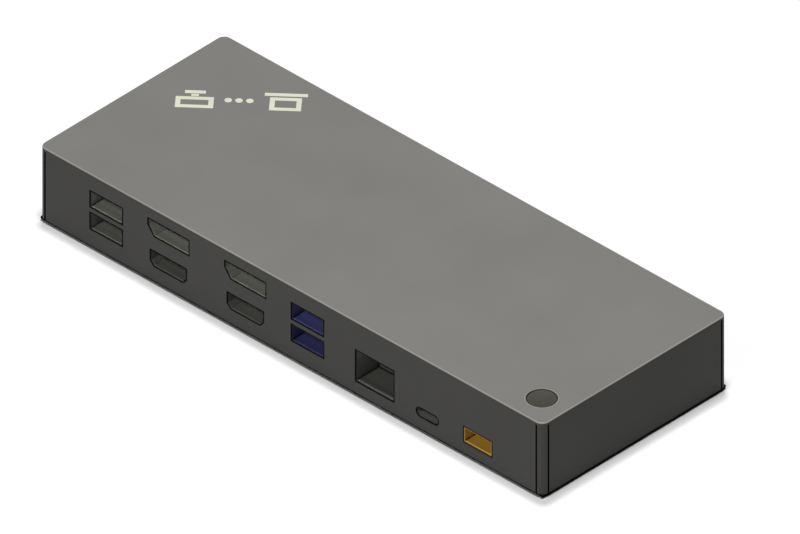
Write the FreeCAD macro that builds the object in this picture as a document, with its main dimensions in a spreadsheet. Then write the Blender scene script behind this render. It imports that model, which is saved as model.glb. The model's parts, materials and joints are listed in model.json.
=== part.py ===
import FreeCAD, Part
import Sketcher
import os
import re

# Laptop docking station: a flat slab housing with a row of sockets along its port face (-Y), three
# more sockets along the user's face (+Y), a lock slot in the left end (-X), and a lit power button.
# Millimetres, +X to the right seen from the port face, +Z up, origin under the middle of the feet.

SIZES = [
    # housing
    ("case_length", 200.0), ("case_depth", 76.5), ("case_height", 25.75),
    ("corner_round", 2.5), ("corner_land", 2.6), ("top_round", 0.45), ("bottom_round", 0.3),
    ("lid_thick", 2.0), ("lid_edge", 0.9), ("end_wall", 2.6), ("panel_thick", 2.0),
    ("end_plate_thick", 0.8), ("seam_gap", 0.2), ("tight_gap", 0.05), ("tool_past", 1.0),
    ("base_edge", 0.7), ("base_floor", 1.8), ("base_inset", 0.25), ("base_corner_round", 0.4),
    ("rim_thick", 1.2), ("rim_high", 1.2), ("rim_gap", 0.15),
    # feet and label under the base
    ("foot_proud", 0.5), ("foot_sunk", 0.5), ("foot_long", 26.0), ("foot_wide", 12.0),
    ("foot_round", 3.0), ("foot_end_inset", 12.0), ("foot_side_inset", 17.1),
    ("label_long", 60.0), ("label_wide", 30.0), ("label_thick", 0.2),
    # housing screws, with their towers on the base and bosses under the lid
    ("case_screw_inset", 26.1), ("boss_radius", 3.0), ("pilot_radius", 1.45), ("pilot_deep", 11.0),
    ("tower_radius", 4.0), ("tower_high", 2.0), ("case_head_radius", 2.5), ("case_head_high", 1.6),
    ("case_shank_radius", 1.42), ("case_shank_long", 10.0), ("thread_gap", 0.03), ("head_gap", 0.3),
    ("shank_gap", 0.15), ("head_seat", 1.2),
    # main board
    ("board_thick", 1.6), ("board_end_gap", 2.4), ("board_side_gap", 2.1), ("board_hole_gap", 0.6),
    ("standoff_high", 1.05), ("standoff_radius", 3.0), ("board_head_radius", 2.25),
    ("board_head_high", 1.3), ("board_shank_radius", 1.1), ("board_shank_long", 3.7),
    ("rear_screw_left", -61.9), ("rear_screw_right", 45.4), ("rear_screw_inset", 11.1),
    ("front_screw_end", 20.0), ("front_screw_inset", 10.1),
    # button
    ("button_end_room", 0.6), ("button_side_room", 1.1), ("cap_radius", 4.5), ("cap_sink", 0.1),
    ("cap_gap", 0.15), ("cap_dish", 0.2), ("cap_bevel", 0.25), ("ring_wall", 0.5),
    ("ring_below", 0.5), ("ring_flange", 1.05), ("cap_flange_wide", 0.55), ("cap_flange_high", 0.8),
    ("stem_radius", 1.5), ("button_travel", 0.6),
    ("switch_wide", 6.0), ("switch_high", 3.3), ("switch_wall", 0.6), ("plunger_radius", 1.4),
    ("travel_spare", 0.1), ("dome_radius", 2.1), ("dome_thick", 0.15), ("dome_high", 0.7),
    ("dome_flat", 0.945), ("dome_gap", 0.3),
    ("button_board_drop", 6.0), ("button_board_thick", 1.0), ("button_board_left", 8.4),
    ("button_board_right", 6.6), ("button_board_near", 6.9), ("button_board_far", 11.5),
    ("button_boss_left", 5.9), ("button_boss_right", 4.1), ("button_boss_back", 9.4),
    ("button_boss_radius", 1.9), ("small_head_radius", 1.6), ("small_head_high", 1.0),
    ("small_shank_radius", 0.8), ("small_shank_long", 4.5),
    ("led_size", 1.6), ("led_high", 0.8), ("led_offset", 5.3),
    ("header_back", 5.6), ("header_pitch", 2.0), ("header_pin", 0.5), ("header_strip", 2.4),
    # where each socket sits along the faces, and the sockets' own sizes
    ("usb_grey_x", -73.2), ("video_left_x", -48.5), ("video_right_x", -18.0), ("usb_blue_x", 6.7),
    ("ethernet_x", 33.4), ("usb_c_x", 54.3), ("inlet_x", 74.3),
    ("front_usb_c_x", 52.0), ("front_usb_a_x", 34.0), ("audio_x", 16.0),
    ("port_gap", 0.1), ("port_recess", 0.1), ("shell_wall", 0.3), ("cage_side", 0.15),
    ("cage_over", 0.4), ("nose_root", 0.4), ("root_sink", 0.1), ("plug_gap", 0.03),
    ("usb_a_wide", 13.1), ("usb_a_high", 5.95), ("usb_a_sill", 1.98), ("usb_a_pitch", 7.6),
    ("usb_a_deep", 17.0), ("usb_a_cavity", 12.5), ("usb_a_tongue_wide", 11.0),
    ("usb_a_tongue_thick", 1.84), ("usb_a_tongue_drop", 0.72), ("usb_a_tongue_start", 3.3),
    ("dp_wide", 16.5), ("dp_high", 5.55), ("dp_sill", 11.72), ("dp_cut_wide", 2.5),
    ("dp_cut_high", 3.2), ("hdmi_wide", 14.6), ("hdmi_high", 5.5), ("hdmi_sill", 1.22),
    ("hdmi_cut_wide", 1.5), ("hdmi_cut_high", 1.6), ("video_wall", 0.2), ("video_side", 0.6),
    ("video_over", 0.5), ("video_deep", 20.0), ("video_cavity", 10.5), ("video_shell_deep", 13.0),
    ("blade_thick", 0.95), ("blade_start", 3.4), ("dp_blade_wide", 11.9), ("hdmi_blade_wide", 11.2),
    ("blade_lift", 0.15), ("tongue_root", 0.5), ("strip_wide", 0.8), ("strip_thick", 0.15),
    ("strip_inset", 0.8), ("usb_c_leg_wide", 0.4), ("usb_c_leg_long", 2.0), ("usb_c_leg_back", 4.0),
    ("ethernet_wide", 15.5), ("ethernet_high", 11.1), ("ethernet_sill", 0.35),
    ("ethernet_pocket", 9.4), ("ethernet_deep", 19.0), ("ethernet_wire", 0.45),
    ("ethernet_wire_long", 5.6), ("ethernet_wire_pitch", 1.02), ("ethernet_wire_tilt", 16.0),
    ("usb_c_wide", 8.96), ("usb_c_high", 3.24), ("usb_c_sill", 0.42), ("usb_c_wall", 0.2),
    ("usb_c_deep", 9.0), ("usb_c_cavity", 6.8), ("usb_c_blade_wide", 6.7),
    ("usb_c_blade_thick", 0.7), ("usb_c_blade_start", 2.7),
    ("inlet_wide", 11.5), ("inlet_high", 5.55), ("inlet_sill", 0.12), ("inlet_wall", 0.45),
    ("inlet_side", 0.3), ("inlet_over", 0.5), ("inlet_deep", 13.0), ("inlet_cavity", 10.5),
    ("pin_radius", 0.5), ("pin_start", 3.5),
    ("audio_bore", 1.8), ("audio_nose", 3.0), ("audio_axis_high", 3.1), ("audio_deep", 14.0),
    ("audio_bore_deep", 13.0), ("audio_half_wide", 3.2), ("audio_high", 6.3),
    # lock slot in the left end
    ("slot_long", 7.0), ("slot_high", 3.0), ("slot_sill", 8.0), ("slot_side_inset", 13.1),
    ("slot_reach", 3.0),
    ("bracket_thick", 1.2), ("bracket_half_wide", 7.0), ("bracket_high", 12.0),
    ("bracket_foot", 4.0),
    # electronics and weight inside
    ("chip_high", 1.2), ("pad_high", 0.9), ("pad_inset", 1.0), ("hub_chip_size", 14.0),
    ("display_chip_size", 17.0),
    ("power_chip_size", 7.0), ("chips_y", 6.0), ("display_chip_x", -44.0), ("usb_chip_x", -18.0),
    ("power_chip_x", 12.0),
    ("spreader_long", 64.0), ("spreader_wide", 34.0), ("spreader_thick", 1.5),
    ("spreader_x", -32.0), ("pillar_inset", 3.0), ("pillar_radius", 2.2),
    ("coil_size", 7.0), ("coil_high", 3.5), ("coil_pitch", 10.0), ("coil_first_x", 24.0),
    ("can_radius", 3.15), ("can_high", 6.2), ("can_pitch", 8.0), ("can_first_x", 56.0),
    ("magnetics_long", 15.0), ("magnetics_wide", 7.0), ("magnetics_high", 5.6),
    ("magnetics_back", 26.0),
    ("ballast_long", 130.0), ("ballast_wide", 38.0), ("ballast_thick", 2.5), ("ballast_y", 8.0),
    ("peg_radius", 1.5), ("peg_gap", 0.1), ("peg_inset", 6.0),
    # pictogram let into the lid: a notebook, three dots and a monitor
    ("badge_x", -73.5), ("badge_y", 17.9), ("badge_turn", 40.4), ("badge_thick", 0.35),
    ("badge_gap", 0.03), ("badge_line", 1.5), ("badge_high", 8.6), ("badge_long", 37.8),
    ("notebook_base", 12.4), ("notebook_screen", 9.2), ("monitor_screen", 11.0),
    ("monitor_neck", 2.2), ("monitor_foot", 6.0), ("monitor_lift", 3.1), ("dot_radius", 1.1),
    ("dot_pitch", 3.1),
    ("dot_shift", 0.7), ("icon_gap", 0.65), ("neck_gap", 0.26),
]

# Places that follow from the sizes.
PLACES = {
    "half_length": "case_length / 2",
    "half_depth": "case_depth / 2",
    "case_top": "foot_proud + case_height",
    "lid_under": "case_top - lid_thick",
    "edge_under": "case_top - lid_edge",
    "wall_foot": "foot_proud + base_edge + tight_gap",
    "floor_top": "foot_proud + base_floor",
    "rim_top": "floor_top + rim_high",
    "board_under": "floor_top + standoff_high",
    "board_top": "board_under + board_thick",
    "panel_zone": "panel_thick + seam_gap",
    "panel_half_long": "half_length - corner_land - seam_gap",
    "plate_half_long": "half_depth - corner_land - seam_gap",
    "board_half_long": "half_length - end_wall - board_end_gap",
    "board_half_wide": "half_depth - panel_thick - board_side_gap",
    "foot_x": "half_length - foot_end_inset",
    "foot_y": "half_depth - foot_side_inset",
    "case_screw_y": "half_depth - case_screw_inset",
    "tower_top": "floor_top + tower_high",
    "boss_foot": "tower_top + tight_gap",
    "head_top": "tower_top - head_seat",
    "hole_radius": "board_shank_radius + shank_gap",
    "rear_screw_y": "-half_depth + rear_screw_inset",
    "front_screw_x": "half_length - front_screw_end",
    "front_screw_y": "half_depth - front_screw_inset",
    "button_x": "half_length - end_wall - button_end_room - ring_flange_radius",
    "button_y": "-half_depth + panel_zone + button_side_room + ring_flange_radius",
    "ring_inner": "cap_radius + cap_gap",
    "ring_outer": "ring_inner + ring_wall",
    "ring_flange_radius": "ring_outer + ring_flange",
    "ring_foot": "lid_under - ring_below",
    "cap_top": "case_top - cap_sink",
    "cap_flange_top": "ring_foot - tight_gap",
    "cap_flange_foot": "cap_flange_top - cap_flange_high",
    "button_board_top": "lid_under - button_board_drop",
    "button_board_under": "button_board_top - button_board_thick",
    "switch_top": "button_board_top + switch_high",
    "plunger_top": "switch_top + button_travel + travel_spare",
    "plunger_foot": "button_board_top + switch_wall + dome_high + tight_gap",
    "door_y": "half_depth - slot_side_inset",
    "slot_foot": "board_top + slot_sill",
    "spreader_under": "board_top + chip_high + pad_high",
    "pillar_x": "spreader_long / 2 - pillar_inset",
    "pillar_y": "spreader_wide / 2 - pillar_inset",
    "usb_cage_half": "usb_a_wide / 2 + cage_side",
    "cage_front": "panel_thick + tight_gap",
}

NAMES = {name for name, value in SIZES}
TINY = 1e-6
LEFT_RIGHT = (("left", "-"), ("right", ""))
CORNERS = [(across, along) for across in ("-", "") for along in ("-", "")]

document = FreeCAD.newDocument("DockingStation")
sheet = document.addObject("Spreadsheet::Sheet", "Sizes")
for row, (alias, value) in enumerate(SIZES, start=1):
    sheet.set("A%d" % row, alias)
    sheet.set("B%d" % row, str(value))
    sheet.setAlias("B%d" % row, alias)
document.recompute()

sub_parts = {}


# ---- helpers: expressions, primitives, sketches ----

def spell(expression):
    """Write an expression out: derived places in full, and each size as its cell."""
    def swap(match):
        word = match.group(0)
        if word in PLACES:
            return "(" + spell(PLACES[word]) + ")"
        return "Sizes." + word if word in NAMES else word
    return re.sub(r"[a-z]+(?:_[a-z]+)+", swap, str(expression))


def bind(item, **properties):
    """Bind properties to expressions; two underscores stand for a dot in a property's path."""
    for path, expression in properties.items():
        item.setExpression(path.replace("__", "."), spell(expression))
    return item


def move(item, x="0", y="0", z="0"):
    return bind(item, Placement__Base__x=x, Placement__Base__y=y, Placement__Base__z=z)


def turn(item, degrees, axis=(0, 0, 1)):
    item.Placement.Rotation = FreeCAD.Rotation(FreeCAD.Vector(*axis), degrees)
    return item


def block(name, x, y, z):
    """A box between two places on each axis."""
    box = document.addObject("Part::Box", name)
    spans = ["(%s) - (%s)" % (high, low) for low, high in (x, y, z)]
    bind(box, Length=spans[0], Width=spans[1], Height=spans[2])
    return move(box, x[0], y[0], z[0])


def rod(name, radius, x="0", y="0", z="0", long="1", along="z"):
    """A cylinder that starts at a place and runs along an axis."""
    cylinder = document.addObject("Part::Cylinder", name)
    bind(cylinder, Radius=radius, Height=long)
    if along == "y":
        turn(cylinder, -90, (1, 0, 0))
    return move(cylinder, x, y, z)


def fuse(name, shapes):
    """Join shapes into one solid; a single shape is returned as it is."""
    shapes = list(shapes)
    if len(shapes) == 1:
        return shapes[0]
    joined = document.addObject("Part::MultiFuse", name)
    joined.Shapes = shapes
    return joined


def cut(name, base, tools):
    result = document.addObject("Part::Cut", name)
    result.Base = base
    result.Tool = fuse(name + "_tools", tools)
    return result


def gather(name, solids):
    """Separate solids kept together as one sub-part."""
    compound = document.addObject("Part::Compound", name)
    compound.Links = list(solids)
    return compound


def keep(label, item):
    """Mark an object as the sub-part of that name."""
    item.Label = label
    sub_parts[label] = item
    return item


def origin_plane(body, role):
    return [feature for feature in body.Origin.OriginFeatures if feature.Role == role][0]


def polygon(body, plane, points, height="0"):
    """A closed sketch of straight lines, each corner bound to its place."""
    sketch = body.newObject("Sketcher::SketchObject", body.Name + "_sketch")
    sketch.AttachmentSupport = (origin_plane(body, plane), [""])
    sketch.MapMode = "FlatFace"
    bind(sketch, AttachmentOffset__Base__z=height)
    spots = [tuple(document_value(term) for term in point) for point in points]
    count = len(spots)
    for index, spot in enumerate(spots):
        following = spots[(index + 1) % count]
        start = FreeCAD.Vector(spot[0], spot[1], 0)
        sketch.addGeometry(Part.LineSegment(start, FreeCAD.Vector(following[0], following[1], 0)), False)
    for index in range(count):
        sketch.addConstraint(Sketcher.Constraint("Coincident", index, 2, (index + 1) % count, 1))
    for index, point in enumerate(points):
        for kind, value, term in zip(("DistanceX", "DistanceY"), spots[index], point):
            added = sketch.addConstraint(Sketcher.Constraint(kind, -1, 1, index, 1, value))
            sketch.setExpression("Constraints[%d]" % added, spell(term))
    return sketch


def document_value(expression):
    """The present value of an expression, in millimetres."""
    value = sheet.evalExpression(spell(expression).replace("Sizes.", ""))
    return float(getattr(value, "Value", value))


def extrude(name, plane, points, length, height="0", backwards=False):
    """A PartDesign body padded from one polygon."""
    body = document.addObject("PartDesign::Body", name)
    sketch = polygon(body, plane, points, height)
    pad = body.newObject("PartDesign::Pad", name + "_pad")
    pad.Profile = sketch
    pad.Reversed = backwards
    bind(pad, Length=length)
    document.recompute()
    return body


def add_pad(body, name, points, height, length):
    pad = body.newObject("PartDesign::Pad", name)
    pad.Profile = polygon(body, "XY_Plane", points, height)
    bind(pad, Length=length)
    document.recompute()


def pocket(body, name, points, height, depth):
    """Cut upwards from a height, by a depth, and make sure that it removed something."""
    before = body.Shape.Volume
    feature = body.newObject("PartDesign::Pocket", name)
    feature.Profile = polygon(body, "XY_Plane", points, height)
    feature.Reversed = True
    bind(feature, Length=depth)
    document.recompute()
    if before - body.Shape.Volume < TINY:
        raise RuntimeError(name + " cut nothing")


def round_edges(body, name, test, radius):
    edges = ["Edge%d" % number for number, edge in enumerate(body.Shape.Edges, start=1) if test(edge)]
    if not edges:
        raise RuntimeError(name + " found no edge")
    base = body.Tip
    fillet = body.newObject("PartDesign::Fillet", name)
    fillet.Base = (base, edges)
    bind(fillet, Radius=radius)
    document.recompute()


def upright(edge):
    return edge.BoundBox.XLength < TINY and edge.BoundBox.YLength < TINY


def at_height(height):
    level = document_value(height)
    return lambda edge: abs(edge.BoundBox.ZMin - level) < TINY and abs(edge.BoundBox.ZMax - level) < TINY


def rectangle(half_x, half_y):
    return [("-(%s)" % half_x, "-(%s)" % half_y), (half_x, "-(%s)" % half_y),
            (half_x, half_y), ("-(%s)" % half_x, half_y)]


def span_rectangle(x, y):
    return [(x[0], y[0]), (x[1], y[0]), (x[1], y[1]), (x[0], y[1])]


def turned(name, profile):
    """A PartDesign revolution about Z of a polygon in radius and height."""
    body = document.addObject("PartDesign::Body", name)
    sketch = polygon(body, "XZ_Plane", profile)
    revolution = body.newObject("PartDesign::Revolution", name + "_turn")
    revolution.Profile = sketch
    revolution.ReferenceAxis = (sketch, ["V_Axis"])
    revolution.Angle = 360
    document.recompute()
    return body


# A screw head's shares: its upright wall of its height, its flat top of its radius, and its cross recess.
HEAD_WALL, HEAD_FLAT, CROSS_REACH, CROSS_HALF, CROSS_DEEP, CROSS_PAST = 0.6, 0.7, 0.55, 0.12, 0.45, 1.1


def screw(name, sizes, head_up, x, y, seat):
    """A cross-recess screw whose head stands on its seat; sizes names its four cells."""
    head, high, shank, long = ("%s_%s" % (sizes, word)
                               for word in ("head_radius", "head_high", "shank_radius", "shank_long"))
    sign = "" if head_up else "-"
    blank = turned(name + "_blank", [
        ("0", "-(%s%s)" % (sign, long)), (shank, "-(%s%s)" % (sign, long)), (shank, "0"), (head, "0"),
        (head, "%s%s * %s" % (sign, high, HEAD_WALL)), ("%s * %s" % (head, HEAD_FLAT), sign + high),
        ("0", sign + high)])
    arm = "%s * %s" % (head, CROSS_REACH)
    slot = "%s * %s" % (head, CROSS_HALF)
    depth = tuple("%s%s * %s" % (sign, high, share) for share in (CROSS_DEEP, CROSS_PAST))
    depth = depth if head_up else depth[::-1]
    recess = [block(name + "_arm_a", ("-" + arm, arm), ("-" + slot, slot), depth),
              block(name + "_arm_b", ("-" + slot, slot), ("-" + arm, arm), depth)]
    return move(cut(name, blank, recess), x, y, seat)


# ---- housing ----

def case_bosses():
    """Four long bosses under the lid, which the housing screws enter from below."""
    for number, (across, along) in enumerate(CORNERS):
        yield number, across + "foot_x", along + "case_screw_y"


def build_top_cover():
    body = extrude("cover_shell", "XY_Plane", rectangle("half_length", "half_depth"),
                   "case_top - wall_foot", "wall_foot")
    round_edges(body, "cover_corners", upright, "corner_round")
    round_edges(body, "cover_top_edge", at_height("case_top"), "top_round")
    pocket(body, "cover_hollow", rectangle("half_length - end_wall", "half_depth - panel_zone"),
           "wall_foot", "lid_under - wall_foot")
    panel_slot = "edge_under - wall_foot"
    for side, sign in (("port", "-"), ("user", "")):
        near, far = sign + "(half_depth - panel_zone)", sign + "(half_depth + tool_past)"
        spans = (far, near) if sign else (near, far)
        pocket(body, side + "_slot", span_rectangle(("-(half_length - corner_land)",
               "half_length - corner_land"), spans), "wall_foot", panel_slot)
    for side, sign in LEFT_RIGHT:
        near, far = sign + "(half_length - end_plate_thick - tight_gap)", sign + "(half_length + tool_past)"
        spans = (far, near) if sign else (near, far)
        pocket(body, side + "_recess", span_rectangle(spans, ("-(half_depth - corner_land)",
               "half_depth - corner_land")), "wall_foot", panel_slot)
    added = [body]
    holes = []
    for number, x, y in case_bosses():
        added.append(rod("case_boss_%d" % number, "boss_radius", x, y, "boss_foot",
                         "lid_under - boss_foot + lid_thick / 2"))
        holes.append(rod("case_pilot_%d" % number, "pilot_radius", x, y, "boss_foot - tool_past",
                         "pilot_deep + tool_past"))
    for side, x in button_screws():
        added.append(rod("button_boss_" + side, "button_boss_radius", x, "button_y + button_boss_back",
                         "button_board_top", "button_board_drop + lid_thick / 2"))
        holes.append(rod("button_pilot_" + side, "small_shank_radius + thread_gap", x,
                         "button_y + button_boss_back", "button_board_top - tool_past",
                         "small_shank_long + tool_past"))
    for number, (across, along) in enumerate(CORNERS):
        added.append(rod("peg_%d" % number, "peg_radius", across + "(ballast_long / 2 - peg_inset)",
                         "ballast_y + %s(ballast_wide / 2 - peg_inset)" % along,
                         "lid_under - ballast_thick", "ballast_thick + lid_thick / 2"))
    holes.append(rod("button_hole", "ring_outer + tight_gap", "button_x", "button_y",
                     "lid_under - tool_past", "lid_thick + 2 * tool_past"))
    holes.append(lock_slot("cover_lock_slot", "half_length - end_wall - tool_past"))
    holes.extend(badge_shapes("badge_pocket", "badge_gap", "case_top - badge_thick", "case_top + tool_past"))
    keep("top_cover", cut("top_cover", fuse("cover_with_bosses", added), holes))


def lock_slot(name, inner):
    """The slot that a security lock enters, cut from outside the left end in to a depth."""
    return block(name, ("-(half_length + tool_past)", "-(%s)" % inner),
                 ("door_y - slot_long / 2", "door_y + slot_long / 2"), ("slot_foot", "slot_foot + slot_high"))


def build_panels():
    height = ("wall_foot", "edge_under - tight_gap")
    windows = {"port": [], "user": []}
    for name, outline, side, x in SOCKET_WINDOWS:
        window = outline(name + "_window", "0", "-tool_past", "cage_front + tool_past")
        windows[side].append(seat(window, side, x))
    for side, sign in (("port", "-"), ("user", "")):
        y = ("half_depth - panel_thick", "half_depth")
        if sign:
            y = ("-half_depth", "-half_depth + panel_thick")
        face = span_rectangle(("-panel_half_long", "panel_half_long"), y)
        blank = extrude(side + "_blank", "XY_Plane", face, "%s - (%s)" % (height[1], height[0]), height[0])
        keep(side + "_panel", cut(side + "_panel", blank, windows[side]))
    for side, sign in LEFT_RIGHT:
        x = ("half_length - end_plate_thick", "half_length")
        if sign:
            x = ("-half_length", "-half_length + end_plate_thick")
        plate = block("end_plate_" + side, x, ("-plate_half_long", "plate_half_long"), height)
        if sign:
            plate = cut("end_plate_slotted", plate,
                        [lock_slot("plate_lock_slot", "half_length - slot_reach")])
        keep("end_plate_" + side, plate)


def build_base():
    edge = ("half_length - base_inset", "half_depth - base_inset")
    body = extrude("base_shell", "XY_Plane", rectangle(*edge), "base_edge", "foot_proud")
    round_edges(body, "base_corners", upright, "base_corner_round")
    round_edges(body, "base_bottom_edge", at_height("foot_proud"), "bottom_round")
    rim = ("half_length - end_wall - rim_gap", "half_depth - panel_zone - rim_gap")
    edge_top = "foot_proud + base_edge"
    add_pad(body, "base_floor_pad", rectangle(*rim), edge_top, "rim_top - (%s)" % edge_top)
    pocket(body, "base_tray", rectangle("%s - rim_thick" % rim[0], "%s - rim_thick" % rim[1]),
           "floor_top", "rim_high")
    added = [body]
    holes = []
    for number, x, y in case_bosses():
        added.append(rod("tower_%d" % number, "tower_radius", x, y, "floor_top - base_floor / 2",
                         "base_floor / 2 + tower_high"))
        holes.append(rod("counterbore_%d" % number, "case_head_radius + head_gap", x, y,
                         "foot_proud - tool_past",
                         "head_top - foot_proud + tool_past"))
        holes.append(rod("clearance_%d" % number, "case_shank_radius + shank_gap", x, y,
                         "foot_proud - tool_past",
                         "tower_top - foot_proud + 2 * tool_past"))
    for number, (x, y) in enumerate(BOARD_SCREWS):
        added.append(rod("standoff_%d" % number, "standoff_radius", x, y, "floor_top - base_floor / 2",
                         "base_floor / 2 + standoff_high"))
        holes.append(rod("standoff_pilot_%d" % number, "board_shank_radius + thread_gap", x, y,
                         "board_top - board_shank_long - shank_gap", "board_shank_long"))
    for number, (across, along) in enumerate(CORNERS):
        holes.append(foot_pad("foot_recess_%d" % number, across, along, "tight_gap", "foot_proud - tool_past",
                              "foot_proud + foot_sunk"))
    holes.append(block("label_recess", ("-label_long / 2 - tight_gap", "label_long / 2 + tight_gap"),
                       ("-label_wide / 2 - tight_gap", "label_wide / 2 + tight_gap"),
                       ("foot_proud - tool_past", "foot_proud + label_thick")))
    keep("base_cover", cut("base_cover", fuse("base_with_towers", added), holes))
    keep("rating_label", block("rating_label", ("-label_long / 2", "label_long / 2"),
                               ("-label_wide / 2", "label_wide / 2"),
                               ("foot_proud", "foot_proud + label_thick")))


def foot_pad(name, across, along, grow, low, high):
    """A rounded pad under one corner, with its long side along Y."""
    x = "%sfoot_x" % across
    y = "%sfoot_y" % along
    half_x, half_y = "foot_wide / 2 + %s" % grow, "foot_long / 2 + %s" % grow
    points = span_rectangle(("%s - (%s)" % (x, half_x), "%s + (%s)" % (x, half_x)),
                            ("%s - (%s)" % (y, half_y), "%s + (%s)" % (y, half_y)))
    body = extrude(name, "XY_Plane", points, "(%s) - (%s)" % (high, low), low)
    round_edges(body, name + "_corners", upright, "foot_round + %s" % grow)
    return body


def build_feet_and_screws():
    feet = [foot_pad("foot_%d" % number, across, along, "0", "0", "foot_proud + foot_sunk")
            for number, (across, along) in enumerate(CORNERS)]
    keep("rubber_feet", gather("rubber_feet", feet))
    screws = [screw("case_screw_%d" % number, "case", False, x, y, "head_top")
              for number, x, y in case_bosses()]
    keep("case_screws", gather("case_screws", screws))


# ---- pictogram ----

def badge_shapes(prefix, grow, low, high):
    """The pictogram's solids, grown sideways by a gap, in its own turned axes on the lid."""
    z = (low, high)

    def bar(name, x, y):
        return block(prefix + name, ("%s - %s" % (x[0], grow), "%s + %s" % (x[1], grow)),
                     ("%s - %s" % (y[0], grow), "%s + %s" % (y[1], grow)), z)

    def frame(name, x, y):
        outer = bar(name + "_outer", x, y)
        inner = block(prefix + name + "_inner",
                      ("%s + badge_line + %s" % (x[0], grow), "%s - badge_line - %s" % (x[1], grow)),
                      ("%s + badge_line + %s" % (y[0], grow), "%s - badge_line - %s" % (y[1], grow)),
                      ("(%s) - tool_past" % low, "(%s) + tool_past" % high))
        return cut(prefix + name, outer, [inner])

    left = "-badge_long / 2"
    right = "badge_long / 2"
    bottom = "-badge_high / 2"
    top = "badge_high / 2"
    margin = "(notebook_base - notebook_screen) / 2"
    lid_foot = bottom + " + badge_line + icon_gap"
    middle = "%s - monitor_screen / 2" % right
    screen_foot = bottom + " + monitor_lift"
    neck = ("%s - monitor_neck / 2 - %s" % (middle, grow), "%s + monitor_neck / 2 + %s" % (middle, grow))
    shapes = [
        bar("_notebook_base", (left, left + " + notebook_base"), (bottom, bottom + " + badge_line")),
        frame("_notebook_screen", ("%s + %s" % (left, margin), "%s + notebook_base - %s" % (left, margin)),
              (lid_foot, top)),
        frame("_monitor_screen", (right + " - monitor_screen", right), (screen_foot, top)),
        bar("_monitor_foot", (middle + " - monitor_foot / 2", middle + " + monitor_foot / 2"),
            (bottom, bottom + " + badge_line")),
        block(prefix + "_monitor_neck", neck,
              (bottom + " + badge_line + neck_gap", screen_foot + " - neck_gap"), z),
    ]
    for number in (-1, 0, 1):
        shapes.append(rod("%s_dot_%d" % (prefix, number + 1), "dot_radius + " + grow,
                          "dot_shift + %d * dot_pitch" % number, "0", low, "(%s) - (%s)" % (high, low)))
    return [on_badge(shape) for shape in shapes]


def on_badge(shape):
    """Turn a shape drawn about the origin into the pictogram's place on the lid."""
    placed = document.addObject("Part::Compound", shape.Name + "_placed")
    placed.Links = [shape]
    bind(placed, Placement__Rotation__Angle="180 + badge_turn")
    return move(placed, "badge_x", "badge_y")


def build_badge():
    shapes = badge_shapes("badge", "0", "case_top - badge_thick", "case_top")
    keep("badge_inlay", gather("badge_inlay", shapes))


# ---- power button ----

def button_screws():
    return (("left", "button_x - button_boss_left"), ("right", "button_x + button_boss_right"))


def build_button():
    flange = "cap_radius + cap_flange_wide"
    cap = turned("cap_blank", [
        ("0", "plunger_top"), ("stem_radius", "plunger_top"), ("stem_radius", "cap_flange_foot"),
        (flange, "cap_flange_foot"), (flange, "cap_flange_top"), ("cap_radius", "cap_flange_top"),
        ("cap_radius", "cap_top - cap_bevel"), ("cap_radius - cap_bevel", "cap_top"), ("0", "cap_top")])
    # A shallow spherical dish for the finger: its radius follows from its depth and width.
    dish_radius = "((cap_radius - 2 * cap_bevel) ^ 2 + cap_dish ^ 2) / (2 * cap_dish)"
    dish = document.addObject("Part::Sphere", "cap_dish_ball")
    bind(dish, Radius=dish_radius)
    move(dish, z="cap_top - cap_dish + %s" % dish_radius)
    keep("power_button", move(cut("power_button", cap, [dish]), "button_x", "button_y"))

    ring = turned("button_ring", [
        ("ring_inner", "ring_foot"), ("ring_flange_radius", "ring_foot"),
        ("ring_flange_radius", "lid_under - tight_gap"), ("ring_outer", "lid_under - tight_gap"),
        ("ring_outer", "case_top"), ("ring_inner", "case_top")])
    keep("button_ring", move(ring, "button_x", "button_y"))

    half = "switch_wide / 2"
    square = (("-" + half, half), ("-" + half, half))
    housing = block("switch_blank", *square, ("button_board_top", "switch_top"))
    well = rod("switch_well", "dome_radius + dome_gap", z="button_board_top + switch_wall",
               long="switch_high - 2 * switch_wall")
    mouth = rod("switch_mouth", "plunger_radius + cap_gap", z="button_board_top + switch_wall",
                long="switch_high")
    keep("button_switch", move(cut("button_switch", housing, [well, mouth]), "button_x", "button_y"))
    keep("switch_plunger", rod("switch_plunger", "plunger_radius", "button_x", "button_y", "plunger_foot",
                               "plunger_top - plunger_foot"))
    dome_foot = "button_board_top + switch_wall"
    dome = turned("switch_dome", [
        ("dome_radius - dome_thick", dome_foot), ("dome_radius", dome_foot),
        ("dome_flat", dome_foot + " + dome_high"), ("0", dome_foot + " + dome_high"),
        ("0", dome_foot + " + dome_high - dome_thick"),
        ("dome_flat - dome_thick / 2", dome_foot + " + dome_high - dome_thick")])
    keep("switch_dome", move(dome, "button_x", "button_y"))

    board = block("button_board_blank", ("button_x - button_board_left", "button_x + button_board_right"),
                  ("button_y - button_board_near", "button_y + button_board_far"),
                  ("button_board_under", "button_board_top"))
    holes = [rod("button_board_hole_" + side, "small_shank_radius + shank_gap", x,
                 "button_y + button_boss_back", "button_board_under - tool_past",
                 "button_board_thick + 2 * tool_past")
             for side, x in button_screws()]
    holes += header_pins("header_hole", "tight_gap", "button_board_under - tool_past",
                         "button_board_top + tool_past")
    keep("button_board", cut("button_board", board, holes))
    screws = []
    for side, x in button_screws():
        screws.append(screw("button_screw_" + side, "small", False, x, "button_y + button_boss_back",
                            "button_board_under"))
    keep("button_board_screws", gather("button_board_screws", screws))
    leds = [block("led_" + side, ("button_x %s led_offset - led_size / 2" % sign,
                                  "button_x %s led_offset + led_size / 2" % sign),
                  ("button_y - led_size / 2", "button_y + led_size / 2"),
                  ("button_board_top", "button_board_top + led_high"))
            for side, sign in (("left", "-"), ("right", "+"))]
    keep("power_leds", gather("power_leds", leds))


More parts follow.
